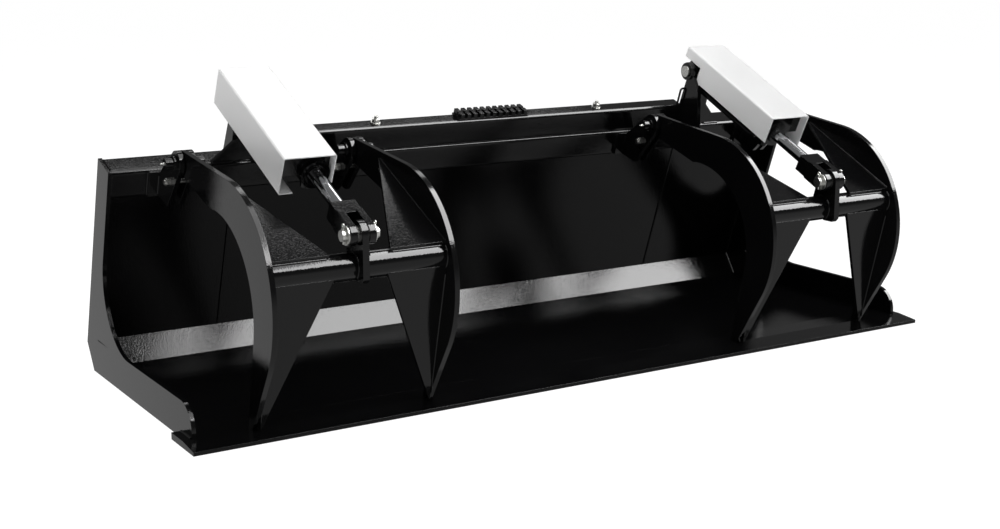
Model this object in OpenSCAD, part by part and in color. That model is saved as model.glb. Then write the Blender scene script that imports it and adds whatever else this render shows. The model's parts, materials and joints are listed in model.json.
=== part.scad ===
/* [Bucket shell] */
// Width over the two side plates
bucket_w = 2134; // [2060:2:2300]
// Thickness of the side plates
side_t = 10; // [8:1:12]
// Thickness of the floor, heel and back plates
shell_t = 6; // [5:0.5:8]
// Length of the floor, from the front of the cutting edge to the heel
floor_len = 763; // [730:1:800]
// Run of the heel plate, front to back
heel_run = 46; // [38:1:56]
// Rise of the heel plate
heel_rise = 67; // [56:1:80]
// Length of the back, from the heel up to the top corner
back_len = 527; // [500:1:560]
// Angle that the back leans forward
back_lean = 19.6; // [17:0.2:22]
// Distance from the centre line to each upright seam of the back
seam_x = 716; // [600:1:800]

/* [Side plates] */
// Height of the low part of a side plate
side_h = 89; // [75:1:110]
// Width of the leaning part of a side plate
post_w = 79; // [76:1:90]
// Radius of the hollow corner between the two parts
fillet_r = 165; // [120:1:190]
// Radius of the rounded front corner
nose_r = 62; // [40:1:70]

/* [Cutting edge] */
// Depth of the cutting edge, front to back
edge_len = 136; // [120:1:160]
// Thickness of the cutting edge
edge_t = 16; // [12:1:20]
// Height of its blunt nose
edge_nose = 9; // [6:1:11]
// Length of its bevel
bevel_len = 66; // [50:1:80]
// How far it stands out past each side plate
edge_over = 22; // [10:1:30]

/* [Top rail] */
// Size of the square top rail
rail = 76; // [70:1:76]
// Wall of the top rail
rail_wall = 6; // [4:0.5:8]
// Outer radius of the top rail's corners
rail_round = 10; // [9:0.5:12]
// Depth of the raised beam
beam_d = 50; // [46:1:60]
// Height of the raised beam
beam_h = 68; // [60:1:80]
// Wall of the raised beam
beam_wall = 5; // [3:0.5:6]
// Outer radius of the raised beam's corners
beam_round = 9; // [7:0.5:10]
// Distance from the centre line to each bolt on the beam
bolt_x = 352; // [300:1:420]

/* [Step] */
// Width of the serrated step
step_w = 220; // [180:2:280]
// Depth of the serrated step
step_d = 42; // [38:1:46]
// Thickness of its base strip
step_base = 5; // [3:0.5:7]
// Height of its teeth
tooth_h = 12; // [8:0.5:16]
// Distance from tooth to tooth
tooth_pitch = 20; // [16:1:24]
// Width of a tooth
tooth_w = 11; // [8:0.5:13]

/* [Grapple arms] */
// Distance from the outside of each side plate to the middle of its arm
arm_in = 368; // [350:1:375]
// Distance between the two tines of an arm, middle to middle
tine_gap = 446; // [420:1:460]
// Thickness of the tines
tine_t = 12.7; // [10:0.1:16]
// Radius of the tines' outer curve
outer_r = 265; // [255:1:270]
// Radius of the tines' inner curve
inner_r = 217; // [205:1:222]
// Radius of the tines' round end at the hinge
hinge_end_r = 29; // [25:0.5:32]
// Outer diameter of the cross tube
tube_d = 65; // [56:1:72]
// Wall of the cross tube
tube_wall = 6; // [4:0.5:8]
// Thickness of the triangular gussets
gusset_t = 10; // [6:0.5:12]
// Reach of an upper gusset along the cross tube
gusset_reach = 142; // [100:1:160]
// Reach of a lower gusset along the cross tube
leg_reach = 148; // [110:1:155]

/* [Hinge] */
// Diameter of the hinge pins
hinge_pin_d = 25; // [22:1:30]
// Length of a hinge pin
hinge_pin_len = 96; // [76:1:104]
// Thickness of a hinge ear
ear_t = 12; // [10:0.5:14]
// Clear gap between a tine and each of its ears
ear_gap = 2.2; // [1:0.1:4]
// Thickness of the pad between the ears and the rail
pad_t = 10; // [6:0.5:14]
// Width of that pad
pad_w = 90; // [70:1:110]
// Diameter of the tie bolts below the hinge
tie_d = 12; // [10:1:16]

/* [Cylinder] */
// Diameter of the rod
rod_d = 32; // [25:1:35]
// Outer diameter of the barrel
barrel_d = 73; // [68:1:74]
// Bore of the barrel
bore_d = 63.5; // [58:0.5:64]
// Length from the tower pin to the end of the barrel
barrel_end = 345; // [320:1:355]
// Length of the gland past the barrel
gland_len = 15; // [10:1:20]
// Diameter of the pins at both ends of the cylinder
cyl_pin_d = 25.4; // [22:0.1:28]
// Clear play of the base eye round its pin, which lets the mechanism follow
eye_play = 8; // [7.8:0.1:9]
// Thickness of the lug on the cross tube
lug_t = 16; // [12:0.5:19]
// Thickness of a clevis prong
prong_t = 16; // [12:0.5:18]
// Gap between the clevis prongs
prong_gap = 30; // [26:0.5:36]
// Radius of the clevis prongs' round end
prong_r = 25; // [22:0.5:28]
// Diameter of the thread hole in a port
port_d = 17.6; // [14:0.1:19]
// Depth of the thread hole in a port
port_depth = 14; // [10:0.5:16]
// Distance from the tower pin to the port at the barrel's closed end
base_port = 68; // [62:1:100]
// Distance from the barrel's open end back to its other port
rod_port = 22; // [16:1:50]
// Length of the clevis, from its pin back to the rod
clevis_len = 100; // [92:1:110]

/* [Cylinder cover] */
// Sheet thickness of the cover
cover_t = 2.5; // [1.5:0.1:3]
// Length of the cover
cover_len = 411; // [380:1:430]
// Height of the cover's top above the cylinder's axis
cover_up = 58; // [54:1:64]
// Depth of the inner wall
cover_in = 76; // [70:1:82]
// Depth of the outer wall
cover_out = 97; // [88:1:104]
// Outer width of the cover
cover_w = 132.5; // [126:0.5:140]
// Width of the lip turned in along the outer wall
cover_lip = 36; // [25:1:38]

/* [Towers] */
// Thickness of the tower ears
tower_t = 12; // [10:0.5:12]
// Radius of the round head of a tower ear
tower_head_r = 26; // [22:0.5:28]
// Thickness of the collar round the tower pin
collar_t = 5; // [3:0.5:8]
// Reach of the front brace past the outer ear, along the rail
brace_reach = 54; // [40:1:60]
// Height of the front brace
brace_h = 95; // [60:1:96]
// Depth of the front brace's face behind the rail's front
brace_in = 6; // [4:0.5:10]

/* [Machine attachment] */
// Width of the attachment plate
attach_w = 1130; // [1100:1:1160]
// Height of the attachment plate
attach_h = 457; // [440:1:465]
// Thickness of the attachment plate
attach_t = 8; // [6:0.5:12]
// Distance from the end of the plate to the middle of its latch slot
latch_in = 57; // [45:1:70]
// Length of a latch slot
slot_len = 48; // [40:1:60]
// Width of a latch slot
slot_w = 28; // [24:1:32]
// Depth of the latch ledge
ledge_d = 65; // [58:1:75]
// Thickness of the latch ledge
ledge_t = 12; // [8:1:16]
// Height of the latch ledge's underside above the ground
ledge_z = 100; // [99:1:110]

/* [Hidden] */
$fn = 96;

black = [0.05, 0.05, 0.055];
white = [0.93, 0.93, 0.93];
zinc = [0.75, 0.75, 0.7];
chrome = [0.82, 0.84, 0.86];

// Clear fits: a pin in the bore of its own body, a pin that turns, a seat on a face
snug = 0.05;
run = 0.06;
seat = 0.05;
rest_gap = 0.3;

half_w = bucket_w / 2;
in_w = half_w - side_t;
arm_x = half_w - arm_in;

// Main points of the side view, as [y, z] with y from the front of the cutting edge
knee = [floor_len + heel_run, heel_rise];
hinge = lean_pt(595.5, 181.8);
tower_pin = lean_pt(697.8, 63.6);
tie = lean_pt(532, 155.5);
lug_pin = hinge + [-466, -118];
tube_c = hinge + [-446, -192];
outer_c = hinge + [-245, -266];
inner_c = hinge + [-188, -301];
inner_top = hinge + [-176, -86];
tip_front = [hinge[0] - 378, edge_t + rest_gap];
tip_rear = tip_front + [24, 0];

heel_a = atan2(heel_rise, heel_run);
back_top = back_len - rail;
attach_top = attach_h + 30;
pin_r = cyl_pin_d / 2;
hinge_r = hinge_pin_d / 2;
ear_in = tine_t / 2 + ear_gap;
ear_out = ear_in + ear_t;
tube_r = tube_d / 2;
barrel_r = barrel_d / 2;
rod_r = rod_d / 2;
barrel_slope = atan2(tower_pin[1] - lug_pin[1], tower_pin[0] - lug_pin[0]);
cyl_len = norm(tower_pin - lug_pin);
tine_out_x = tine_gap / 2 - tine_t / 2;

// A point of the side view from its height up the back and its depth in front of the back
function lean_pt(up, inn) = [
    knee[0] - up * sin(back_lean) - inn * cos(back_lean),
    knee[1] + up * cos(back_lean) - inn * sin(back_lean)];

// The y of the face that stands out by r behind the back, at the height z
function face_y(z, r) = knee[0] + r * cos(back_lean)
    - (z - knee[1] - r * sin(back_lean)) / cos(back_lean) * sin(back_lean);

// The point where a line from p touches a circle with its middle at c
function touch(p, c, r, s) =
    let (d = norm(p - c), b = atan2(p[1] - c[1], p[0] - c[0]), a = acos(r / d))
    c + r * [cos(b + s * a), sin(b + s * a)];

// The direction from both middles to the line that touches two circles on one side
function touch_dir(c1, r1, c2, r2, s) =
    let (d = norm(c2 - c1), b = atan2(c2[1] - c1[1], c2[0] - c1[0]), a = acos((r1 - r2) / d))
    [cos(b + s * a), sin(b + s * a)];

// Inner corners of the folded shell
mitre_1 = [floor_len - shell_t * tan(heel_a / 2), shell_t];
fold_2 = 90 + back_lean - heel_a;
mitre_2 = knee + shell_t * ([-sin(heel_a), cos(heel_a)] - tan(fold_2 / 2) * [cos(heel_a), sin(heel_a)]);

// Overall depth, which sets the origin midway between front and rear
front_y = outer_c[0] - outer_r;
rear_y = face_y(ledge_z + ledge_t, attach_t) + ledge_d;
mid_y = (front_y + rear_y) / 2;

// Tower ears, as distances from the centre line
cover_x0 = arm_x - barrel_r - 1.5 - cover_t;
ear_x1 = cover_x0 - rest_gap;
ear_x0 = ear_x1 - tower_t;
far_x0 = arm_x + barrel_r + 4;
far_x1 = far_x0 + tower_t;

// Places the side view's frame on the part's own origin
module placed() {
    translate([0, -mid_y, 0]) children();
}

// Draws a side view outline as a plate that starts at x and is t thick
module plate(x, t) {
    placed() translate([x, 0, 0]) rotate([90, 0, 90]) linear_extrude(t) children();
}

// Frame of the leaning back: y to the rear, z up along the back, from the heel's knee
module lean_frame() {
    placed() translate([0, knee[0], knee[1]]) rotate([back_lean, 0, 0]) children();
}

// Frame of a cylinder: z from the tower pin along the rod, y square to it and up
module cyl_frame(s) {
    placed() translate([s * arm_x, tower_pin[0], tower_pin[1]]) rotate([90 + barrel_slope, 0, 0])
        mirror([s < 0 ? 1 : 0, 0, 0]) children();
}

module at(p) {
    translate([p[0], p[1]]) children();
}

// A round bar along x in the side view's frame
module bar_x(p, x0, x1, r) {
    placed() translate([x0, p[0], p[1]]) rotate([0, 90, 0]) cylinder(h = x1 - x0, r = r);
}

// A hexagon along x, with its width over the flats
module hex_x(p, x0, x1, flats) {
    placed() translate([x0, p[0], p[1]]) rotate([0, 90, 0])
        cylinder(h = x1 - x0, r = flats / 2 / cos(30), $fn = 6);
}

// Shell plates

module floor_plate() {
    color(black) plate(-in_w, 2 * in_w)
        polygon([[edge_len, 0], [floor_len, 0], mitre_1, [edge_len, shell_t]]);
}

module heel_plate() {
    color(black) plate(-in_w, 2 * in_w) polygon([[floor_len, 0], knee, mitre_2, mitre_1]);
}

// A back panel's upper edge fits under the rail's rounded corner
module back_panel(x0, x1) {
    under = [for (k = [0 : 3]) let (inn = shell_t * k / 3)
        lean_pt(back_top - rest_gap + rail_round
            - sqrt(pow(rail_round, 2) - pow(rail_round - max(inn, 1), 2)), inn)];
    color(black) plate(x0, x1 - x0) polygon([knee, for (p = under) p, mitre_2]);
}

module side_outline() {
    corner_up = (side_h - knee[1] + post_w * sin(back_lean)) / cos(back_lean);
    fillet_up = (side_h + fillet_r - knee[1] + (post_w + fillet_r) * sin(back_lean)) / cos(back_lean);
    fillet_c = lean_pt(fillet_up, post_w + fillet_r);
    nose_c = [bevel_len + nose_r, side_h - nose_r];
    polygon([[nose_c[0], edge_t], [edge_len, edge_t], [edge_len, 0], [floor_len, 0], knee,
        lean_pt(back_len, 0), lean_pt(back_len, post_w), lean_pt(corner_up, post_w), [nose_c[0], side_h]]);
    difference() {
        polygon([[fillet_c[0], side_h - 5], lean_pt(corner_up, post_w - 10), lean_pt(fillet_up, post_w - 5),
            fillet_c]);
        at(fillet_c) circle(fillet_r, $fn = 180);
    }
    translate([bevel_len, edge_t]) square([nose_r + 1, nose_c[1] - edge_t + 1]);
    intersection() {
        at(nose_c) circle(nose_r);
        translate([bevel_len - 1, nose_c[1]]) square([nose_r + 2, nose_r + 1]);
    }
}

module side_plate(s) {
    color(black) plate(s > 0 ? in_w : -half_w, side_t) side_outline();
}

module cutting_edge() {
    color(black) plate(-half_w - edge_over, 2 * (half_w + edge_over))
        polygon([[0, 0], [edge_len, 0], [edge_len, edge_t], [bevel_len, edge_t], [0, edge_nose]]);
}

// Rail, beam and step

module round_box(x0, y0, x1, y1, r) {
    translate([x0 + r, y0]) square([x1 - x0 - 2 * r, y1 - y0]);
    translate([x0, y0 + r]) square([x1 - x0, y1 - y0 - 2 * r]);
    for (x = [x0 + r, x1 - r], y = [y0 + r, y1 - r]) translate([x, y]) circle(r, $fn = 32);
}

// A tube along x that lies on the back's slope, with its lower front edge at [y0, z0]
module long_tube(half, y0, z0, d, h, wall, r) {
    lean_frame() translate([-half, 0, 0]) rotate([90, 0, 90]) linear_extrude(2 * half) difference() {
        round_box(y0, z0, y0 + d, z0 + h, r);
        round_box(y0 + wall, z0 + wall, y0 + d - wall, z0 + h - wall, r - wall);
    }
}

module top_rail() {
    color(black) long_tube(in_w, -rail, back_top, rail, rail, rail_wall, rail_round);
}

module upper_beam() {
    color(black) long_tube(ear_x0, -rail, back_len, beam_d, beam_h, beam_wall, beam_round);
}

module serrated_step() {
    count = floor(step_w / tooth_pitch);
    row_d = (step_d - 6) / 2;
    color(black) lean_frame() translate([0, -rail + (beam_d - step_d) / 2, back_len + beam_h]) {
        translate([-step_w / 2, 0, 0]) cube([step_w, step_d, step_base]);
        for (row = [0, 1], i = [0 : count - 1]) {
            x = (i - (count - 1) / 2) * tooth_pitch - tooth_w / 2;
            translate([x, row * (step_d - row_d), step_base - 1]) cube([tooth_w, row_d, tooth_h + 1]);
        }
    }
}

module beam_bolts() {
    color(zinc) lean_frame() for (s = [-1, 1])
        translate([s * bolt_x, -rail + beam_d / 2, back_len + beam_h]) {
            cylinder(h = 3, r = 13);
            translate([0, 0, 2]) cylinder(h = 11, r = 9.5 / cos(30), $fn = 6);
            translate([0, 0, 12]) cylinder(h = 9, r = 5.5);
        }
}

// A bent rod from the beam's top to the tower's inner ear
module hose_guides() {
    bend = 7;
    color(black) for (s = [-1, 1]) mirror([s < 0 ? 1 : 0, 0, 0]) lean_frame()
        translate([ear_x0 - bend - 3, -rail + 11, back_len + beam_h]) {
            cylinder(h = 42, r = 3);
            translate([bend, 0, 42]) mirror([1, 0, 0]) rotate([90, 0, 0])
                rotate_extrude(angle = 90) translate([bend, 0]) circle(3);
            translate([bend, 0, 42 + bend]) rotate([0, 90, 0]) cylinder(h = 3, r = 3);
        }
}

// Hinges

module ear_outline() {
    foot = rail + pad_t + seat;
    top = lean_pt(back_len - 6, foot);
    low = hinge + [59, -101];
    difference() {
        union() {
            polygon([top, lean_pt(back_len - 68, foot), hinge + [74, -114], low,
                touch(low, hinge, hinge_end_r, -1), hinge, touch(top, hinge, hinge_end_r, 1)]);
            at(hinge) circle(hinge_end_r);
        }
        at(hinge) circle(hinge_r + snug);
        at(tie) circle(tie_d / 2 + snug);
    }
}

module hinge_pads() {
    color(black) lean_frame() for (s = [-1, 1], k = [-1, 1])
        translate([s * arm_x + k * tine_gap / 2 - pad_w / 2, -rail - pad_t, back_len - 70])
            cube([pad_w, pad_t, 66]);
}

module hinge_brackets(s) {
    color(black) for (k = [-1, 1], x0 = [-ear_out, ear_in])
        plate(s * arm_x + k * tine_gap / 2 + x0, ear_t) ear_outline();
}

module hinge_pins() {
    color(black) for (s = [-1, 1], k = [-1, 1]) {
        x = s * arm_x + k * tine_gap / 2;
        bar_x(hinge, x - hinge_pin_len / 2, x + hinge_pin_len / 2, hinge_r);
    }
}

module hinge_collars() {
    color(black) for (s = [-1, 1], k = [-1, 1], e = [-1, 1]) {
        x = s * arm_x + k * tine_gap / 2 + e * (ear_out + 4);
        difference() {
            bar_x(hinge, x - 4, x + 4, hinge_r + 5);
            bar_x(hinge, x - 5, x + 5, hinge_r + snug);
        }
    }
}

module hinge_tie_bolts() {
    color(zinc) for (s = [-1, 1], k = [-1, 1]) {
        x = s * arm_x + k * tine_gap / 2;
        bar_x(tie, x - ear_out - 15, x + ear_out + 1, tie_d / 2);
        hex_x(tie, x - ear_out - 11, x - ear_out, 1.5 * tie_d);
        hex_x(tie, x + ear_out, x + ear_out + 8, 1.5 * tie_d);
    }
}

// Towers that carry the cylinders

module near_ear() {
    front = tower_pin[0] - 48;
    neck = tower_pin - [0, tower_head_r];
    difference() {
        union() {
            at(tower_pin) circle(tower_head_r);
            polygon([neck + [6, 0], lean_pt(back_len, rail - 18), lean_pt(back_len, rail),
                lean_pt(back_len - 55, rail), [front, tower_pin[1] - 188], [front, tower_pin[1] - 62],
                tower_pin - [tower_head_r - 4, 12], tower_pin]);
        }
        at(tower_pin) circle(pin_r + snug);
    }
}

// The outer ear stands behind the front brace
module far_ear() {
    rear = lean_pt(back_len, rail_round);
    front = rail - brace_in - gusset_t;
    top = lean_pt(back_len + brace_h, front);
    difference() {
        union() {
            at(tower_pin) circle(tower_head_r);
            polygon([rear, lean_pt(back_len, front), top, touch(top, tower_pin, tower_head_r, -1),
                tower_pin, touch(rear, tower_pin, tower_head_r, 1)]);
        }
        at(tower_pin) circle(pin_r + snug);
    }
}

module tower(s) {
    color(black) mirror([s < 0 ? 1 : 0, 0, 0]) {
        plate(ear_x0, tower_t) near_ear();
        plate(far_x0, tower_t) far_ear();
        plate(ear_x0 - collar_t, collar_t + 1) at(tower_pin) difference() {
            circle(tower_head_r - 1);
            circle(pin_r + snug);
        }
        lean_frame() translate([0, -rail + brace_in + gusset_t, back_len]) rotate([90, 0, 0])
            linear_extrude(gusset_t) polygon([[ear_x1, 0], [far_x1 + brace_reach, 0],
                [far_x1 + brace_reach - brace_h, brace_h], [ear_x1, brace_h]]);
    }
}

module tower_pins() {
    color(zinc) for (s = [-1, 1]) mirror([s < 0 ? 1 : 0, 0, 0]) {
        bar_x(tower_pin, ear_x0 - collar_t - 1, far_x1 + 12, pin_r);
        bar_x(tower_pin, ear_x0 - collar_t - 6, ear_x0 - collar_t, 16);
    }
}

// Machine attachment on the back

// The plate stands on the latch ledge and its face is clear from the ledge to the lip
module attach_plate() {
    z1 = ledge_z + ledge_t;
    color(black) plate(-attach_w / 2, attach_w)
        polygon([[face_y(z1, seat), z1], [face_y(z1, attach_t), z1], lean_pt(attach_top, -attach_t),
            lean_pt(attach_top, -seat)]);
}

// The lip is a bent strip on the plate's upper edge that hooks down behind the loader's plate
module attach_lip() {
    t = attach_t;
    color(black) lean_frame() translate([-attach_w / 2, 0, attach_top + seat]) rotate([90, 0, 90])
        linear_extrude(attach_w) polygon([[seat, 0], [t + 13, 0], [t + 32, -20], [t + 38, -14],
            [t + 16, t], [seat, t]]);
}

module latch_ledge() {
    z1 = ledge_z + ledge_t;
    slot_y = rear_y - ledge_d / 2 - 2;
    color(black) difference() {
        plate(-attach_w / 2, attach_w)
            polygon([[face_y(ledge_z, seat), ledge_z], [rear_y, ledge_z], [rear_y, z1], [face_y(z1, seat), z1]]);
        placed() for (s = [-1, 1]) translate([s * (attach_w / 2 - latch_in), slot_y, ledge_z - 1]) {
            for (k = [-1, 1]) translate([k * (slot_len - slot_w) / 2, 0, 0])
                cylinder(h = ledge_t + 2, r = slot_w / 2);
            translate([-(slot_len - slot_w) / 2, -slot_w / 2, 0])
                cube([slot_len - slot_w, slot_w, ledge_t + 2]);
        }
    }
}

module ledge_ribs() {
    color(black) for (s = [-1, 1], x = [0.22, 0.5])
        plate(s * x * attach_w - (s > 0 ? 8 : 0), 8)
            polygon([[face_y(ledge_z - 28, seat), ledge_z - 28], [rear_y - 12, ledge_z - 6],
                [rear_y - 12, ledge_z], [face_y(ledge_z, seat), ledge_z]]);
}

// Grapple arms

module tine(s, k) {
    x = s * arm_x + k * tine_gap / 2 - tine_t / 2;
    n = touch_dir(outer_c, outer_r, hinge, hinge_end_r, 1);
    leg = touch(tip_front, outer_c, outer_r, -1);
    inner = touch(tip_rear, inner_c, inner_r, -1);
    under = touch(inner_top, hinge, hinge_end_r, 1);
    color(black) difference() {
        union() {
            difference() {
                plate(x, tine_t) at(outer_c) circle(outer_r, $fn = 240);
                plate(x - 1, tine_t + 2) at(inner_c) circle(inner_r, $fn = 240);
                plate(x - 1, tine_t + 2) polygon([tip_rear, inner, inner_c, inner_c + [0, inner_r],
                    inner_top, under, [outer_c[0] + outer_r + 40, under[1]], [outer_c[0] + outer_r + 40, -60],
                    [tip_rear[0], -60]]);
            }
            plate(x, tine_t) polygon([outer_c + outer_r * n, hinge + hinge_end_r * n, hinge, under,
                inner_top, inner_c + [0, inner_r + 20]]);
            plate(x, tine_t) at(hinge) circle(hinge_end_r);
            plate(x, tine_t) polygon([leg, tip_front, tip_rear, inner, inner + [-20, 20]]);
        }
        plate(x - 1, tine_t + 2) at(hinge) circle(hinge_r + run);
    }
}

module cross_tube(s) {
    color(black) difference() {
        bar_x(tube_c, s * arm_x - tine_out_x, s * arm_x + tine_out_x, tube_r);
        bar_x(tube_c, s * arm_x - tine_out_x - 1, s * arm_x + tine_out_x + 1, tube_r - tube_wall);
    }
}

module rod_lug(s) {
    heel = tube_c + [24, 49];
    front = lug_pin[0] - 32;
    low = tube_c[1] - tube_r;
    color(black) plate(s * arm_x - lug_t / 2, lug_t) difference() {
        union() {
            at(lug_pin) circle(32);
            polygon([[front, lug_pin[1]], [front, low + 9], [front + 9, low], [tube_c[0] - 12, low],
                tube_c + [34, 15], heel, touch(heel, lug_pin, 32, 1), lug_pin]);
        }
        at(lug_pin) circle(pin_r + snug);
        at(tube_c) circle(tube_r + seat);
    }
}

// A gusset's plate lies in a slanted plane along the cross tube and meets both tines
module upper_gussets(s) {
    top = hinge + [-146, -13];
    base = tube_c + [-18, 27];
    dir = atan2(top[1] - base[1], top[0] - base[0]);
    len = norm(top - base);
    color(black) for (k = [-1, 1])
        placed() translate([s * arm_x, tube_c[0], tube_c[1]]) rotate([dir, 0, 0])
            translate([0, -6, tube_r + seat]) linear_extrude(gusset_t)
                polygon([[k * tine_out_x, 0], [k * (tine_out_x - gusset_reach), 0],
                    [k * (tine_out_x - 4), len], [k * tine_out_x, len]]);
}

module lower_gussets(s) {
    head = tube_c + [-13, -30];
    foot = tip_front - [0, 2];
    dir = atan2(foot[0] - head[0], head[1] - foot[1]);
    len = norm(foot - head);
    cut = (foot[1] - edge_t - rest_gap) / cos(dir);
    color(black) difference() {
        for (k = [-1, 1])
            placed() translate([s * arm_x, head[0], head[1]]) rotate([90 + dir, 0, 0])
                linear_extrude(gusset_t) mirror([0, 1])
                    polygon([[k * tine_out_x, -20], [k * (tine_out_x - leg_reach - 6), -20],
                        [k * (tine_out_x - 4), len + cut - 4], [k * tine_out_x, len + cut - 4]]);
        bar_x(tube_c, s * arm_x - tine_out_x - 1, s * arm_x + tine_out_x + 1, tube_r + seat);
    }
}

module rod_pin(s) {
    x = s * arm_x;
    color(zinc) difference() {
        bar_x(lug_pin, x - 45, x + 45, pin_r);
        for (k = [-1, 1])
            placed() translate([x + k * 39, lug_pin[0], lug_pin[1] - 20]) cylinder(h = 40, r = 2.6);
    }
}

module pin_washer(x0, x1, r) {
    difference() {
        bar_x(lug_pin, x0, x1, r);
        bar_x(lug_pin, x0 - 1, x1 + 1, pin_r + snug);
    }
}

module pin_washers(s) {
    x = s * arm_x;
    color(zinc) for (k = [-1, 1]) {
        inner = [x + k * (lug_t / 2), x + k * (prong_gap / 2 - rest_gap)];
        outer = [x + k * (prong_gap / 2 + prong_t + rest_gap), x + k * (prong_gap / 2 + prong_t + 3.5)];
        pin_washer(min(inner), max(inner), 20);
        pin_washer(min(outer), max(outer), 22);
    }
}

module rod_cotters(s) {
    color(zinc) for (k = [-1, 1]) placed() translate([s * arm_x + k * 39, lug_pin[0], lug_pin[1]]) {
        translate([0, 0, -19]) cylinder(h = 38, r = 2.3);
        translate([0, 0, 22.5]) rotate([0, 90, 0]) rotate_extrude() translate([4, 0]) circle(1.6, $fn = 24);
    }
}

// Cylinders

module rod(s) {
    color(chrome) cyl_frame(s) {
        translate([0, 0, 285]) cylinder(h = 25, r = bore_d / 2 - run);
        translate([0, 0, 300]) cylinder(h = cyl_len - clevis_len - 300, r = rod_r);
    }
}

module clevis(s) {
    wide = prong_gap + 2 * prong_t;
    color(black) cyl_frame(s) difference() {
        union() {
            translate([-wide / 2, -prong_r + 3, cyl_len - clevis_len]) cube([wide, 2 * prong_r - 6, 45]);
            for (x0 = [-wide / 2, prong_gap / 2]) {
                translate([x0, -prong_r, cyl_len - 62]) cube([prong_t, 2 * prong_r, 62]);
                translate([x0, 0, cyl_len]) rotate([0, 90, 0]) cylinder(h = prong_t, r = prong_r);
            }
        }
        translate([-wide, 0, cyl_len]) rotate([0, 90, 0]) cylinder(h = 2 * wide, r = pin_r + run);
    }
}

module barrel(s) {
    color(black) cyl_frame(s) difference() {
        translate([0, 0, 44]) cylinder(h = barrel_end - 44, r = barrel_r);
        translate([0, 0, 43]) cylinder(h = barrel_end, r = bore_d / 2);
    }
}

module gland(s) {
    color(black) cyl_frame(s) translate([0, 0, barrel_end]) difference() {
        union() {
            cylinder(h = gland_len, r = barrel_r - 0.5);
            cylinder(h = gland_len + 6, r = rod_r + 9);
        }
        translate([0, 0, -1]) cylinder(h = gland_len + 8, r = rod_r + run);
    }
}

module base_eye(s) {
    eye_r = pin_r + eye_play + 11;
    color(black) cyl_frame(s) difference() {
        union() {
            translate([-30, 0, 0]) rotate([0, 90, 0]) cylinder(h = 60, r = eye_r);
            translate([-30, -24, 0]) cube([60, 48, 40]);
            translate([0, 0, 34]) cylinder(h = 10, r = barrel_r);
        }
        translate([-31, 0, 0]) rotate([0, 90, 0]) cylinder(h = 62, r = pin_r + eye_play);
    }
}

module ports(s) {
    reach = barrel_r + 16;
    color(black) cyl_frame(s) difference() {
        for (z = [base_port, barrel_end - rod_port])
            translate([0, -barrel_r + 4, z]) rotate([90, 0, 0]) cylinder(h = 20, r = 14);
        translate([0, 0, 20]) cylinder(h = barrel_end, r = barrel_r + seat);
        for (z = [base_port, barrel_end - rod_port])
            translate([0, -reach + port_depth, z]) rotate([90, 0, 0])
                cylinder(h = port_depth + 1, r = port_d / 2);
    }
}

module cover(s) {
    x0 = cover_x0 - arm_x;
    x1 = x0 + cover_w;
    low = cover_up - cover_out;
    color(white) cyl_frame(s) difference() {
        translate([0, 0, -42]) linear_extrude(cover_len) difference() {
            round_box(x0, low, x1, cover_up, 2 * cover_t);
            round_box(x0 + cover_t, low + cover_t, x1 - cover_t, cover_up - cover_t, cover_t);
            translate([x0 - 1, low - 1]) square([cover_w - cover_lip + 1, cover_out - cover_in + 1]);
        }
        translate([x0 - 1, -cover_in, -43]) cube([cover_t + 2, cover_in + 27, 43 + 33]);
    }
}

module cover_brackets(s) {
    color(black) cyl_frame(s) difference() {
        for (z = [60, 290]) translate([-20, 0, z]) cube([40, cover_up - cover_t, 28]);
        translate([0, 0, 20]) cylinder(h = barrel_end, r = barrel_r + seat);
    }
}

floor_plate();
heel_plate();
back_panel(-seam_x, seam_x);  // back_panel_centre
back_panel(-in_w, -seam_x);  // back_panel_left
back_panel(seam_x, in_w);  // back_panel_right
side_plate(-1);  // side_plate_left
side_plate(1);  // side_plate_right
cutting_edge();
top_rail();
upper_beam();
serrated_step();
beam_bolts();
hose_guides();
hinge_pads();
hinge_brackets(-1);  // hinge_brackets_left
hinge_brackets(1);  // hinge_brackets_right
hinge_pins();
hinge_collars();
hinge_tie_bolts();
tower(-1);  // tower_left
tower(1);  // tower_right
tower_pins();
attach_plate();
attach_lip();
latch_ledge();
ledge_ribs();
tine(-1, -1);  // tine_outer_left
tine(-1, 1);  // tine_inner_left
cross_tube(-1);  // cross_tube_left
rod_lug(-1);  // rod_lug_left
upper_gussets(-1);  // upper_gussets_left
lower_gussets(-1);  // lower_gussets_left
rod_pin(-1);  // rod_pin_left
pin_washers(-1);  // pin_washers_left
rod_cotters(-1);  // rod_cotters_left
tine(1, 1);  // tine_outer_right
tine(1, -1);  // tine_inner_right
cross_tube(1);  // cross_tube_right
rod_lug(1);  // rod_lug_right
upper_gussets(1);  // upper_gussets_right
lower_gussets(1);  // lower_gussets_right
rod_pin(1);  // rod_pin_right
pin_washers(1);  // pin_washers_right
rod_cotters(1);  // rod_cotters_right
rod(-1);  // rod_left
clevis(-1);  // clevis_left
barrel(-1);  // barrel_left
gland(-1);  // gland_left
base_eye(-1);  // base_eye_left
ports(-1);  // ports_left
cover(-1);  // cover_left
cover_brackets(-1);  // cover_brackets_left
rod(1);  // rod_right
clevis(1);  // clevis_right
barrel(1);  // barrel_right
gland(1);  // gland_right
base_eye(1);  // base_eye_right
ports(1);  // ports_right
cover(1);  // cover_right
cover_brackets(1);  // cover_brackets_right
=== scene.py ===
import json
import math

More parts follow.
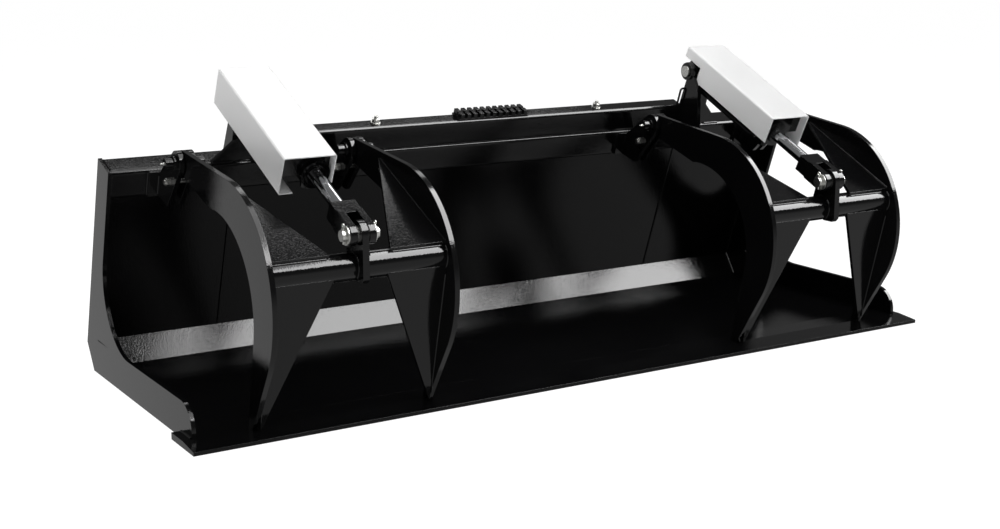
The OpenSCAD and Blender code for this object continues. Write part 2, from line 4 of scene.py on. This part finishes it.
import bmesh
import bpy
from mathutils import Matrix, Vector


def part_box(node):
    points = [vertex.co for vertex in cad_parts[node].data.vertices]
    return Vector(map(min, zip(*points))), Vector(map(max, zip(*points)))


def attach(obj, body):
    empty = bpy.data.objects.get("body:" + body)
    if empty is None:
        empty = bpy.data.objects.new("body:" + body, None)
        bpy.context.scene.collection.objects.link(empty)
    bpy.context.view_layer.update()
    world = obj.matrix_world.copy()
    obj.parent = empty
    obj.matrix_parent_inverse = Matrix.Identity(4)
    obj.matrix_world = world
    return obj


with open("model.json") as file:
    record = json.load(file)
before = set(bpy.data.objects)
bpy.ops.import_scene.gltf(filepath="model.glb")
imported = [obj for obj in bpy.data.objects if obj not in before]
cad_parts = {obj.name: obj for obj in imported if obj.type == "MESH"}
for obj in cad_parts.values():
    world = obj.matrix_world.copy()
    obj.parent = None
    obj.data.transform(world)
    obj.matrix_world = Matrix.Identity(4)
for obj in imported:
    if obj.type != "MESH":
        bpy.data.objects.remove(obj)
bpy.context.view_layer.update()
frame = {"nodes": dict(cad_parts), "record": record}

NODES = frame["nodes"]
SIDES = {"left": -1, "right": 1}


# Camera, solved from the photograph's straight edges

LENS_MM = 54.63
CAMERA_AT = (-2.162, -3.3593, 1.0866)
CAMERA_TURN = (77.8, 0.0, -31.9)


def add_camera():
    data = bpy.data.cameras.new("camera")
    data.sensor_width = 36.0
    data.lens = LENS_MM
    data.clip_end = 100.0
    cam = bpy.data.objects.new("camera", data)
    cam.location = CAMERA_AT
    cam.rotation_euler = [math.radians(a) for a in CAMERA_TURN]
    bpy.context.collection.objects.link(cam)
    bpy.context.scene.camera = cam


# Materials

def new_material(name):
    mat = bpy.data.materials.new(name)
    mat.use_nodes = True
    tree = mat.node_tree
    tree.nodes.clear()
    out = tree.nodes.new("ShaderNodeOutputMaterial")
    shader = tree.nodes.new("ShaderNodeBsdfPrincipled")
    tree.links.new(shader.outputs["BSDF"], out.inputs["Surface"])
    return mat, tree, shader


def object_coordinates(tree):
    return tree.nodes.new("ShaderNodeTexCoord").outputs["Object"]


def noise(tree, coords, scale, detail, rough):
    node = tree.nodes.new("ShaderNodeTexNoise")
    node.inputs["Scale"].default_value = scale
    node.inputs["Detail"].default_value = detail
    node.inputs["Roughness"].default_value = rough
    tree.links.new(coords, node.inputs["Vector"])
    return node.outputs["Fac"]


def ramp(tree, value, low, high, start=0.3, end=0.7):
    node = tree.nodes.new("ShaderNodeMapRange")
    node.inputs["From Min"].default_value = start
    node.inputs["From Max"].default_value = end
    node.inputs["To Min"].default_value = low
    node.inputs["To Max"].default_value = high
    tree.links.new(value, node.inputs["Value"])
    return node.outputs["Result"]


def colour_mix(tree, value, dark, light):
    node = tree.nodes.new("ShaderNodeMix")
    node.data_type = "RGBA"
    node.inputs["A"].default_value = (*dark, 1.0)
    node.inputs["B"].default_value = (*light, 1.0)
    tree.links.new(value, node.inputs["Factor"])
    return node.outputs["Result"]


def bump(tree, value, height, normal=None, strength=1.0):
    node = tree.nodes.new("ShaderNodeBump")
    node.inputs["Strength"].default_value = strength
    node.inputs["Distance"].default_value = height
    tree.links.new(value, node.inputs["Height"])
    if normal is not None:
        tree.links.new(normal, node.inputs["Normal"])
    return node.outputs["Normal"]


def soft_edges(tree, radius):
    node = tree.nodes.new("ShaderNodeBevel")
    node.samples = 6
    node.inputs["Radius"].default_value = radius
    return node.outputs["Normal"]


COAT_DARK = (0.0012, 0.0012, 0.0013)
COAT_LIGHT = (0.0024, 0.0024, 0.0026)
WAVE_HEIGHT = 0.0006
WAVE_STRENGTH = 0.06


def paint(name, rough, peel, edge, dark=COAT_DARK, light=COAT_LIGHT, peel_scale=300.0, ior=1.4):
    """Baked powder coat: orange peel, slow waviness of the sheet, softly rounded edges."""
    mat, tree, shader = new_material(name)
    coords = object_coordinates(tree)
    tone = noise(tree, coords, scale=3.0, detail=4.0, rough=0.6)
    tree.links.new(colour_mix(tree, tone, dark, light), shader.inputs["Base Color"])
    patches = noise(tree, coords, scale=9.0, detail=5.0, rough=0.65)
    tree.links.new(ramp(tree, patches, *rough), shader.inputs["Roughness"])
    edges = soft_edges(tree, edge)
    sheet = noise(tree, coords, scale=4.0, detail=1.0, rough=0.4)
    waves = bump(tree, sheet, WAVE_HEIGHT, edges, WAVE_STRENGTH)
    grain = bump(tree, noise(tree, coords, peel_scale, detail=1.0, rough=0.5), peel, waves)
    tree.links.new(grain, shader.inputs["Normal"])
    shader.inputs["IOR"].default_value = ior
    return mat


METAL_EDGE = 0.0004


def metal(name, dark, light, rough, grain_scale, grain):
    """Bare or plated metal with a fine grain."""
    mat, tree, shader = new_material(name)
    coords = object_coordinates(tree)
    tone = noise(tree, coords, grain_scale / 6, detail=3.0, rough=0.6)
    tree.links.new(colour_mix(tree, tone, dark, light), shader.inputs["Base Color"])
    patches = noise(tree, coords, grain_scale, detail=4.0, rough=0.6)
    tree.links.new(ramp(tree, patches, *rough), shader.inputs["Roughness"])
    shader.inputs["Metallic"].default_value = 1.0
    marks = noise(tree, coords, grain_scale, detail=3.0, rough=0.6)
    normal = bump(tree, marks, grain, soft_edges(tree, METAL_EDGE))
    tree.links.new(normal, shader.inputs["Normal"])
    return mat


BLACK = paint("black_powder_coat", rough=(0.06, 0.11), peel=0.00014, edge=0.0012)
SHELL = paint("black_shell_coat", rough=(0.07, 0.12), peel=0.00017, edge=0.0010, ior=1.3)
GUSSET = paint("black_gusset_coat", rough=(0.06, 0.11), peel=0.00028, edge=0.0010, peel_scale=280.0)
HEEL = paint("black_heel_coat", rough=(0.05, 0.10), peel=0.00036, edge=0.0010)
WHITE = paint("white_cover_paint", rough=(0.28, 0.38), peel=0.00003, edge=0.0010, dark=(0.80, 0.80, 0.80),
              light=(0.86, 0.86, 0.86), peel_scale=400.0, ior=1.5)
CHROME = metal("hard_chrome", (0.78, 0.79, 0.81), (0.86, 0.87, 0.89), (0.05, 0.10), 900.0, 0.000004)
ZINC = metal("zinc_plate", (0.55, 0.55, 0.52), (0.74, 0.74, 0.72), (0.22, 0.40), 260.0, 0.00002)
SIDE = paint("black_side_coat", rough=(0.06, 0.11), peel=0.00014, edge=0.0003)

# Some nodes have a finish of their own, and the others have that of their slot
NODE_MATERIAL = {"heel_plate": HEEL, "upper_gussets_left": GUSSET, "upper_gussets_right": GUSSET,
                 "side_plate_left": SIDE, "side_plate_right": SIDE}
SLOT_MATERIAL = {"frame_paint": BLACK, "shell_paint": SHELL, "cover_paint": WHITE, "rod_chrome": CHROME,
                 "zinc_plate": ZINC}


def dress_nodes():
    slots = {part["node"]: part["material_slot"] for part in frame["record"]["subparts"]}
    for name, obj in NODES.items():
        obj.data.materials.clear()
        obj.data.materials.append(NODE_MATERIAL.get(name, SLOT_MATERIAL[slots[name]]))


# Side view of the bucket in millimetres: y to the rear from the edge's front, z up from the ground

EDGE_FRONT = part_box("cutting_edge")[0][1]

# Distances from the middle of the bucket
HALF_IN = 1057.0
HALF_OUT = 1067.0
BACK_SEAM_X = 716.0
ARM_X = 699.0
BEAM_END_X = 645.0
ATTACH_EDGE_X = 565.0
TOWER_FACES = (658.2, 739.5, 751.5)

# Distances from the middle of an arm or a tine
TINE_X = 223.0
TINE_FACE = 216.65
PAD_HALF = 45.0
EAR_FACE = 20.55

# Rail on the leaning back: its front face's depth and its top's height
RAIL_FRONT = 76.0
RAIL_TOP = 527.0

# The back's lean, and places in the side view
LEAN = math.radians(19.6)
KNEE = (809.0, 67.0)
HINGE = (437.96, 567.02)
TUBE = (-8.0, 375.0)
TOWER_PIN = (515.007, 703.033)
LUG_PIN = (-28.03, 449.01)

# A cylinder's axis: its length, its direction from tower pin to lug pin, and the side called up
CYL_LEN = math.dist(TOWER_PIN, LUG_PIN)
CYL_ALONG = ((LUG_PIN[0] - TOWER_PIN[0]) / CYL_LEN, (LUG_PIN[1] - TOWER_PIN[1]) / CYL_LEN)
CYL_UP = (CYL_ALONG[1], -CYL_ALONG[0])

# Radii of cross tube, barrel, rod and port boss, and the ports' distances from the tower pin
TUBE_R = 32.5
BARREL_R = 36.5
ROD_R = 16.0
BOSS_R = 14.0
PORTS_ALONG = (68.0, 323.0)


def spot(x, y, z):
    return (x / 1000, y / 1000 + EDGE_FRONT, z / 1000)


def on_back(x, depth, up):
    """A point at a height up the leaning back and a depth in front of its rear face."""
    y = KNEE[0] - up * math.sin(LEAN) - depth * math.cos(LEAN)
    z = KNEE[1] + up * math.cos(LEAN) - depth * math.sin(LEAN)
    return spot(x, y, z)


def on_cylinder(side, out, up, along):
    """A point beside a cylinder's axis, at a distance from the tower pin."""
    y = TOWER_PIN[0] + along * CYL_ALONG[0] + up * CYL_UP[0]
    z = TOWER_PIN[1] + along * CYL_ALONG[1] + up * CYL_UP[1]
    return spot(side * (ARM_X + out), y, z)


def ring(x, centre, radius, first=0.0, last=360.0, count=48):
    """Points on a circle square to x; a full turn comes back to its first point."""
    points = []
    for k in range(count + 1):
        a = math.radians(first + (last - first) * k / count)
        points.append(spot(x, centre[0] + radius * math.cos(a), centre[1] + radius * math.sin(a)))
    return points


# Weld beads

def add_math(tree, operation, first, second):
    node = tree.nodes.new("ShaderNodeMath")
    node.operation = operation
    for socket, value in zip(node.inputs, (first, second)):
        if isinstance(value, (int, float)):
            socket.default_value = value
        else:
            tree.links.new(value, socket)
    return node.outputs["Value"]


def make_bead_group():
    """Sweeps a round, rippled bead along every run of edges."""
    tree = bpy.data.node_groups.new("weld_bead", "GeometryNodeTree")
    for name, kind in (("Seams", "Geometry"), ("Bead radius", "Float"), ("Ripple length", "Float"),
                       ("Ripple depth", "Float"), ("Seed", "Float"), ("Finish", "Material")):
        tree.interface.new_socket(name, in_out="INPUT", socket_type="NodeSocket" + kind)
    tree.interface.new_socket("Geometry", in_out="OUTPUT", socket_type="NodeSocketGeometry")
    given = tree.nodes.new("NodeGroupInput").outputs
    runs = tree.nodes.new("GeometryNodeMeshToCurve")
    tree.links.new(given["Seams"], runs.inputs["Mesh"])
    steps = tree.nodes.new("GeometryNodeResampleCurve")
    steps.mode = "LENGTH"
    tree.links.new(runs.outputs["Curve"], steps.inputs["Curve"])
    tree.links.new(add_math(tree, "MULTIPLY", given["Ripple length"], 0.45), steps.inputs["Length"])
    along = tree.nodes.new("GeometryNodeSplineParameter").outputs["Length"]
    turns = add_math(tree, "MULTIPLY", add_math(tree, "DIVIDE", along, given["Ripple length"]), math.tau)
    ripple = add_math(tree, "SINE", turns, 0.0)
    hand = tree.nodes.new("ShaderNodeTexNoise")
    hand.noise_dimensions = "4D"
    hand.inputs["Scale"].default_value = 45.0
    tree.links.new(given["Seed"], hand.inputs["W"])
    drift = add_math(tree, "MULTIPLY", add_math(tree, "SUBTRACT", hand.outputs["Fac"], 0.5), 4.0)
    swell = add_math(tree, "MULTIPLY", add_math(tree, "ADD", ripple, drift), given["Ripple depth"])
    size = add_math(tree, "MULTIPLY", add_math(tree, "ADD", swell, 1.0), given["Bead radius"])
    profile = tree.nodes.new("GeometryNodeCurvePrimitiveCircle")
    profile.inputs["Resolution"].default_value = 8
    profile.inputs["Radius"].default_value = 1.0
    sweep = tree.nodes.new("GeometryNodeCurveToMesh")
    sweep.inputs["Fill Caps"].default_value = True
    tree.links.new(steps.outputs["Curve"], sweep.inputs["Curve"])
    tree.links.new(profile.outputs["Curve"], sweep.inputs["Profile Curve"])
    tree.links.new(size, sweep.inputs["Scale"])
    smooth = tree.nodes.new("GeometryNodeSetShadeSmooth")
    tree.links.new(sweep.outputs["Mesh"], smooth.inputs["Geometry"])
    real = tree.nodes.new("GeometryNodeRealizeInstances")
    tree.links.new(smooth.outputs["Geometry"], real.inputs["Geometry"])
    finish = tree.nodes.new("GeometryNodeSetMaterial")
    tree.links.new(real.outputs["Geometry"], finish.inputs["Geometry"])
    tree.links.new(given["Finish"], finish.inputs["Material"])
    out = tree.nodes.new("NodeGroupOutput")
    tree.links.new(finish.outputs["Geometry"], out.inputs["Geometry"])
    return tree


BEAD = make_bead_group()


RIPPLE_DEPTH = 0.10


def add_beads(name, body, seams, radius, ripple=0.009, seed=3.0):
    """Turns a list of point runs into one mesh of beads that rides on a body."""
    points = []
    edges = []
    for seam in seams:
        closed = math.dist(seam[0], seam[-1]) < 1e-6
        run = seam[:-1] if closed else seam
        first = len(points)
        points.extend(run)
        edges.extend((first + k, first + k + 1) for k in range(len(run) - 1))
        if closed:
            edges.append((first + len(run) - 1, first))
    mesh = bpy.data.meshes.new(name + "_seams")
    mesh.from_pydata(points, edges, [])
    holder = bpy.data.objects.new(name + "_seams", mesh)
    bpy.context.collection.objects.link(holder)
    modifier = holder.modifiers.new("beads", "NODES")
    modifier.node_group = BEAD
    values = {"Bead radius": radius / 1000, "Ripple length": ripple, "Ripple depth": RIPPLE_DEPTH,
              "Seed": seed, "Finish": BLACK}
    for item in BEAD.interface.items_tree:
        if item.in_out == "INPUT" and item.name in values:
            modifier[item.identifier] = values[item.name]
    graph = bpy.context.evaluated_depsgraph_get()
    plain = bpy.data.meshes.new_from_object(holder.evaluated_get(graph))
    holder.modifiers.remove(modifier)
    bpy.data.objects.remove(holder)
    piece = bpy.data.objects.new(name, plain)
    bpy.context.collection.objects.link(piece)
    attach(piece, body)


def bucket_seams():
    """Seams of the bucket: broad beads inside the shell, narrow ones round what stands on it."""
    broad = []
    narrow = []
    for s in (-1, 1):
        x = s * HALF_IN
        broad.append([spot(x, 138, 6), spot(x, 758, 6)])
        broad.append([spot(x, 760.5, 7), spot(x, 801, 67)])
        broad.append([on_back(x, 6, 6), on_back(x, 6, 448)])
        narrow.append([on_back(x, RAIL_FRONT, 463), on_back(x, RAIL_FRONT, 515)])
        narrow.append([on_back(x, 64, RAIL_TOP), on_back(x, 12, RAIL_TOP)])
        narrow.append([on_back(s * BACK_SEAM_X, 6, 8), on_back(s * BACK_SEAM_X, 6, 446)])
        narrow.append([spot(s * HALF_OUT, 72, 16), spot(s * HALF_OUT, 134, 16)])
        narrow.append([spot(s * ATTACH_EDGE_X, 800, 118), spot(s * ATTACH_EDGE_X, 663.4, 500)])
        for face in TOWER_FACES:
            narrow.append([on_back(s * face, 72, RAIL_TOP), on_back(s * face, 8, RAIL_TOP)])
        for near, far, depth in ((753, 803, 70), (660, 738, 70), (753, 803, 60)):
            narrow.append([on_back(s * near, depth, RAIL_TOP), on_back(s * far, depth, RAIL_TOP)])
        for tine in (-TINE_X, TINE_X):
            middle = s * ARM_X + tine
            left = middle - PAD_HALF
            right = middle + PAD_HALF
            corners = ((left, 458), (right, 458), (right, 519), (left, 519))
            pad = [on_back(across, RAIL_FRONT, up) for across, up in corners]
            narrow.append(pad + pad[:1])
            for ear in (-EAR_FACE, EAR_FACE):
                narrow.append([on_back(middle + ear, 86, 464), on_back(middle + ear, 86, 514)])
    broad.append([spot(-1054, 137, 7), spot(1054, 137, 7)])
    broad.append([on_back(-1055, 8, 450), on_back(1055, 8, 450)])
    for depth in (71, 25):
        narrow.append([on_back(x, depth, RAIL_TOP + 0.5) for x in (-BEAM_END_X, BEAM_END_X)])
    narrow.append([spot(-560, 801.5, 112.5), spot(560, 801.5, 112.5)])
    return broad, narrow


# Slanted frames of an arm's side view: origin, long axis and upright axis
UPPER_GUSSET = (TUBE, (0.90224, 0.43123), (-0.43123, 0.90224))
LOWER_GUSSET = ((-21.0, 345.0), (0.23790, -0.97129), (-0.97129, -0.23790))
BELOW_TUBE = (TUBE, (0.23790, -0.97129), (-0.97129, -0.23790))


def slanted(x, axes, run, rise):
    """A point in a slanted frame of the side view."""
    origin, along, up = axes
    return spot(x, origin[0] + along[0] * run + up[0] * rise, origin[1] + along[1] * run + up[1] * rise)


def arm_seams(side):
    """Seams of an arm: cross tube to tines, gussets to tines and tube, lug to tube."""
    seams = []
    for k in (-1, 1):
        face = side * ARM_X + k * TINE_FACE
        near = side * ARM_X + k * (TINE_FACE - 4)
        far = side * ARM_X + k * (TINE_FACE - 136)
        lug_face = side * ARM_X + k * 8
        seams.append(ring(face, TUBE, TUBE_R))
        for rise in (32.5, 42.6):
            seams.append([slanted(face, UPPER_GUSSET, run, rise) for run in (-3, 343)])
        for rise in (0, 10):
            seams.append([slanted(face, LOWER_GUSSET, run, rise) for run in (8, 318)])
        for run in (-6.5, 6.5):
            seams.append([slanted(x, UPPER_GUSSET, run, 32) for x in (near, far)])
        seams.append([slanted(x, BELOW_TUBE, 31, 13) for x in (near, far)])
        seams.append(ring(lug_face, TUBE, TUBE_R, 26, 232, 40))
    return seams


def hoop(side, radius, along, count):
    """A closed ring of points round a cylinder's axis."""
    angles = [math.tau * k / count for k in range(count)]
    turn = [on_cylinder(side, radius * math.cos(a), radius * math.sin(a), along) for a in angles]
    return turn + turn[:1]


def cylinder_seams(side):
    """Seams of a barrel: its closed end, and the saddle-shaped foot of each port's boss."""
    seams = [hoop(side, BARREL_R, 44.5, 48)]
    for port in PORTS_ALONG:
        boss = []
        for k in range(36):
            a = math.tau * k / 36
            out = BOSS_R * math.cos(a)
            up = -math.sqrt(BARREL_R ** 2 - out ** 2) - 0.5
            boss.append(on_cylinder(side, out, up, port + BOSS_R * math.sin(a)))
        seams.append(boss + boss[:1])
    return seams


def rod_seams(side):
    """The seam between a rod and its clevis."""
    return [hoop(side, ROD_R, CYL_LEN - 100.5, 36)]


def add_all_beads():
    broad, narrow = bucket_seams()
    add_beads("shell_welds", "bucket", broad, 4.6)
    add_beads("bracket_welds", "bucket", narrow, 3.0, ripple=0.008)
    for name, side in SIDES.items():
        add_beads("arm_welds_" + name, "arm_" + name, arm_seams(side), 2.8, seed=5.0 + side)
        add_beads("barrel_welds_" + name, "barrel_body_" + name, cylinder_seams(side), 2.4, ripple=0.006,
                  seed=9.0 + side)
        add_beads("rod_weld_" + name, "rod_body_" + name, rod_seams(side), 2.6, ripple=0.006,
                  seed=12.0 + side)


# Turned, bent and cut fittings

SHARP_ANGLE = math.radians(35.0)


def add_piece(name, body, slot, points, faces):
    """Makes a piece whose sharp edges stay crisp, and sets it to ride on a body."""
    mesh = bpy.data.meshes.new(name)
    mesh.from_pydata(points, [], faces)
    mesh.materials.append(SLOT_MATERIAL[slot])
    shape = bmesh.new()
    shape.from_mesh(mesh)
    bmesh.ops.recalc_face_normals(shape, faces=shape.faces)
    for face in shape.faces:
        face.smooth = True
    for edge in shape.edges:
        edge.smooth = len(edge.link_faces) == 2 and edge.calc_face_angle(0.0) < SHARP_ANGLE
    shape.to_mesh(mesh)
    shape.free()
    piece = bpy.data.objects.new(name, mesh)
    bpy.context.collection.objects.link(piece)
    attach(piece, body)


def loft(rings):
    """Joins rings of the same number of points into one closed skin."""
    count = len(rings[0])
    points = [p for loop in rings for p in loop]
    faces = []
    for r in range(len(rings) - 1):
        for k in range(count):
            a = r * count + k
            b = r * count + (k + 1) % count
            faces.append((a, b, b + count, a + count))
    faces.append(tuple(range(count - 1, -1, -1)))
    faces.append(tuple(range((len(rings) - 1) * count, len(rings) * count)))
    return points, faces


def join(parts):
    """Puts the points and faces of several skins in one list each."""
    points = []
    faces = []
    for part_points, part_faces in parts:
        first = len(points)
        points.extend(part_points)
        faces.extend(tuple(first + k for k in face) for face in part_faces)
    return points, faces


# Distance out and radius of each step of a grease nipple
NIPPLE_HEXAGON = ((-2, 4.6), (3.2, 4.6), (3.8, 4.1))
NIPPLE_HEAD = ((3.5, 3.4), (5.5, 2.4), (6.8, 2.2), (7.4, 2.7), (8.2, 3.1), (9.2, 2.9), (9.8, 2.0))


def turned_x(x, centre, way, steps, sides):
    """A solid turned round a line along x, from steps of distance and radius."""
    angles = [math.tau * k / sides for k in range(sides)]
    rings = []
    for out, r in steps:
        at = x + way * out
        rings.append([spot(at, centre[0] + r * math.cos(a), centre[1] + r * math.sin(a)) for a in angles])
    return loft(rings)


def nipple(x, centre, way):
    """A grease nipple that points along x: hexagon, cone, neck and ball."""
    return join([turned_x(x, centre, way, NIPPLE_HEXAGON, 6), turned_x(x, centre, way, NIPPLE_HEAD, 16)])


def add_nipples():
    parts = []
    for side in (-1, 1):
        parts.append(nipple(side * 970, HINGE, side))
        parts.append(nipple(side * 428, HINGE, -side))
        parts.append(nipple(side * 763.5, TOWER_PIN, side))
    points, faces = join(parts)
    add_piece("grease_nipples", "bucket", "zinc_plate", points, faces)


# Line under a barrel: its place beside the axis, its runs along it, its bend, and its nut's steps
LINE_AT = (-24.2, -37.3)
LINE_R = 8.0
LINE_BEND = 12.0
LINE_BEND_AT = 292
LINE_STRAIGHT = (50, 120, 200, 280, LINE_BEND_AT)
NUT_STEPS = ((37, 11.4), (38, 12.4), (51, 12.4), (52, 11.4))


def add_line(name, side):
    """Steel line under the barrel, from its nut at the closed end to the weld beside the rod port."""
    out, up = LINE_AT
    reach = math.hypot(out, up)
    inward = (-out / reach, -up / reach)
    path = [(0.0, z) for z in LINE_STRAIGHT]
    for k in range(1, 9):
        a = math.radians(90 * k / 8)
        path.append((LINE_BEND * (1 - math.cos(a)), LINE_BEND_AT + LINE_BEND * math.sin(a)))
    rings = []
    for k, (shift, z) in enumerate(path):
        before = path[max(k - 1, 0)]
        after = path[min(k + 1, len(path) - 1)]
        d = math.hypot(after[0] - before[0], after[1] - before[1])
        lean_in = (after[0] - before[0]) / d
        lean_on = (after[1] - before[1]) / d
        loop = []
        for j in range(20):
            a = math.tau * j / 20
            flat = LINE_R * math.cos(a)
            tall = LINE_R * math.sin(a)
            deep = shift + tall * lean_on
            loop.append(on_cylinder(side, out + inward[0] * deep - inward[1] * flat,
                                    up + inward[1] * deep + inward[0] * flat, z - tall * lean_in))
        rings.append(loop)
    corners = [math.tau * j / 6 for j in range(6)]
    nut = [[on_cylinder(side, out + r * math.cos(a), up + r * math.sin(a), z) for a in corners]
           for z, r in NUT_STEPS]
    points, faces = join([loft(rings), loft(nut)])
    add_piece("rod_line_" + name, "barrel_body_" + name, "frame_paint", points, faces)


# Saddle plate: its corners, the hollow that fits the barrel, and its two faces along the axis
SADDLE_CORNERS = [(-37.6, 55.2), (89.0, 55.2), (89.0, -6.5), (36.0, -6.5)]
SADDLE_LAST_CORNER = (-37.6, 0.0)
SADDLE_HOLLOW_R = 36.7
SADDLE_FACES = (335, 344.5)


def add_saddle(name, side):
    """Plate that holds the cover over the gland end of the barrel."""
    outline = list(SADDLE_CORNERS)
    for k in range(21):
        a = math.radians(-10 + 190 * k / 20)
        outline.append((SADDLE_HOLLOW_R * math.cos(a), SADDLE_HOLLOW_R * math.sin(a)))
    outline.append(SADDLE_LAST_CORNER)
    rings = [[on_cylinder(side, out, up, z) for out, up in outline] for z in SADDLE_FACES]
    points, faces = loft(rings)
    add_piece("gland_saddle_" + name, "barrel_body_" + name, "frame_paint", points, faces)


# Floor and light

FLOOR_HALF = 30.0
FLOOR_DROP = 0.0005
FLOOR_GLOW = 0.98
FLOOR_DARK = (0.11, 0.11, 0.11)
FLOOR_LIGHT = (0.13, 0.13, 0.13)


def add_floor():
    """A pale matt floor that glows a little, just under the bucket, and isn't seen in the gloss."""
    corners = [(FLOOR_HALF * x, FLOOR_HALF * y, 0) for x, y in ((-1, -1), (1, -1), (1, 1), (-1, 1))]
    mesh = bpy.data.meshes.new("floor")
    mesh.from_pydata(corners, [], [(0, 1, 2, 3)])
    floor = bpy.data.objects.new("floor", mesh)
    floor.location = (0, 0, -FLOOR_DROP)
    bpy.context.collection.objects.link(floor)
    mat, tree, shader = new_material("studio_floor")
    coords = object_coordinates(tree)
    tone = noise(tree, coords, scale=0.8, detail=2.0, rough=0.5)
    tree.links.new(colour_mix(tree, tone, FLOOR_DARK, FLOOR_LIGHT), shader.inputs["Base Color"])
    shader.inputs["Roughness"].default_value = 0.9
    shader.inputs["Specular IOR Level"].default_value = 0.0
    shader.inputs["Emission Color"].default_value = (1.0, 1.0, 1.0, 1.0)
    shader.inputs["Emission Strength"].default_value = FLOOR_GLOW
    mesh.materials.append(mat)
    floor.visible_glossy = False


def add_panel(name, at, size, power, mirrored):
    """A level softbox: one that the gloss mirrors, or one that lights the matt tones."""
    data = bpy.data.lights.new(name, "AREA")
    data.shape = "RECTANGLE"
    data.size = size[0]
    data.size_y = size[1]
    data.energy = power
    obj = bpy.data.objects.new(name, data)
    obj.location = at
    obj.visible_glossy = mirrored
    obj.visible_diffuse = not mirrored
    bpy.context.collection.objects.link(obj)


BACKDROP_LEVEL = 1.05
AMBIENT_BELOW = 0.55
AMBIENT_ABOVE = 0.14
HORIZON_BAND = 0.15


def add_world():
    """White behind the object, and a dimmer surround for what the paint reflects, dimmest above."""
    world = bpy.data.worlds.new("studio")
    world.use_nodes = True
    tree = world.node_tree
    background = tree.nodes["Background"]
    background.inputs["Color"].default_value = (1.0, 1.0, 1.0, 1.0)
    rays = tree.nodes.new("ShaderNodeLightPath")
    direction = tree.nodes.new("ShaderNodeSeparateXYZ")
    tree.links.new(tree.nodes.new("ShaderNodeTexCoord").outputs["Generated"], direction.inputs["Vector"])
    level = tree.nodes.new("ShaderNodeMapRange")
    level.inputs["To Max"].default_value = BACKDROP_LEVEL
    surround = ramp(tree, direction.outputs["Z"], AMBIENT_BELOW, AMBIENT_ABOVE, -HORIZON_BAND, HORIZON_BAND)
    tree.links.new(surround, level.inputs["To Min"])
    tree.links.new(rays.outputs["Is Camera Ray"], level.inputs["Value"])
    tree.links.new(level.outputs["Result"], background.inputs["Strength"])
    bpy.context.scene.world = world


def add_light():
    add_world()
    add_panel("mirrored_softbox", (5.35, -2.9, 4.5), (8.3, 6.6), 2550.0, mirrored=True)
    add_panel("mirrored_side_panel", (-0.15, -2.9, 4.5), (2.7, 6.6), 200.0, mirrored=True)
    add_panel("matt_softbox", (0.1, -0.65, 4.5), (6.0, 5.4), 500.0, mirrored=False)
    add_panel("mirrored_rear_panel", (1.9, 2.0, 4.5), (3.4, 3.0), 95.0, mirrored=True)
    bpy.context.scene.view_settings.view_transform = "Standard"


add_camera()
dress_nodes()
add_all_beads()
add_nipples()
for side_name, side_sign in SIDES.items():
    add_line(side_name, side_sign)
    add_saddle(side_name, side_sign)
add_floor()
add_light()
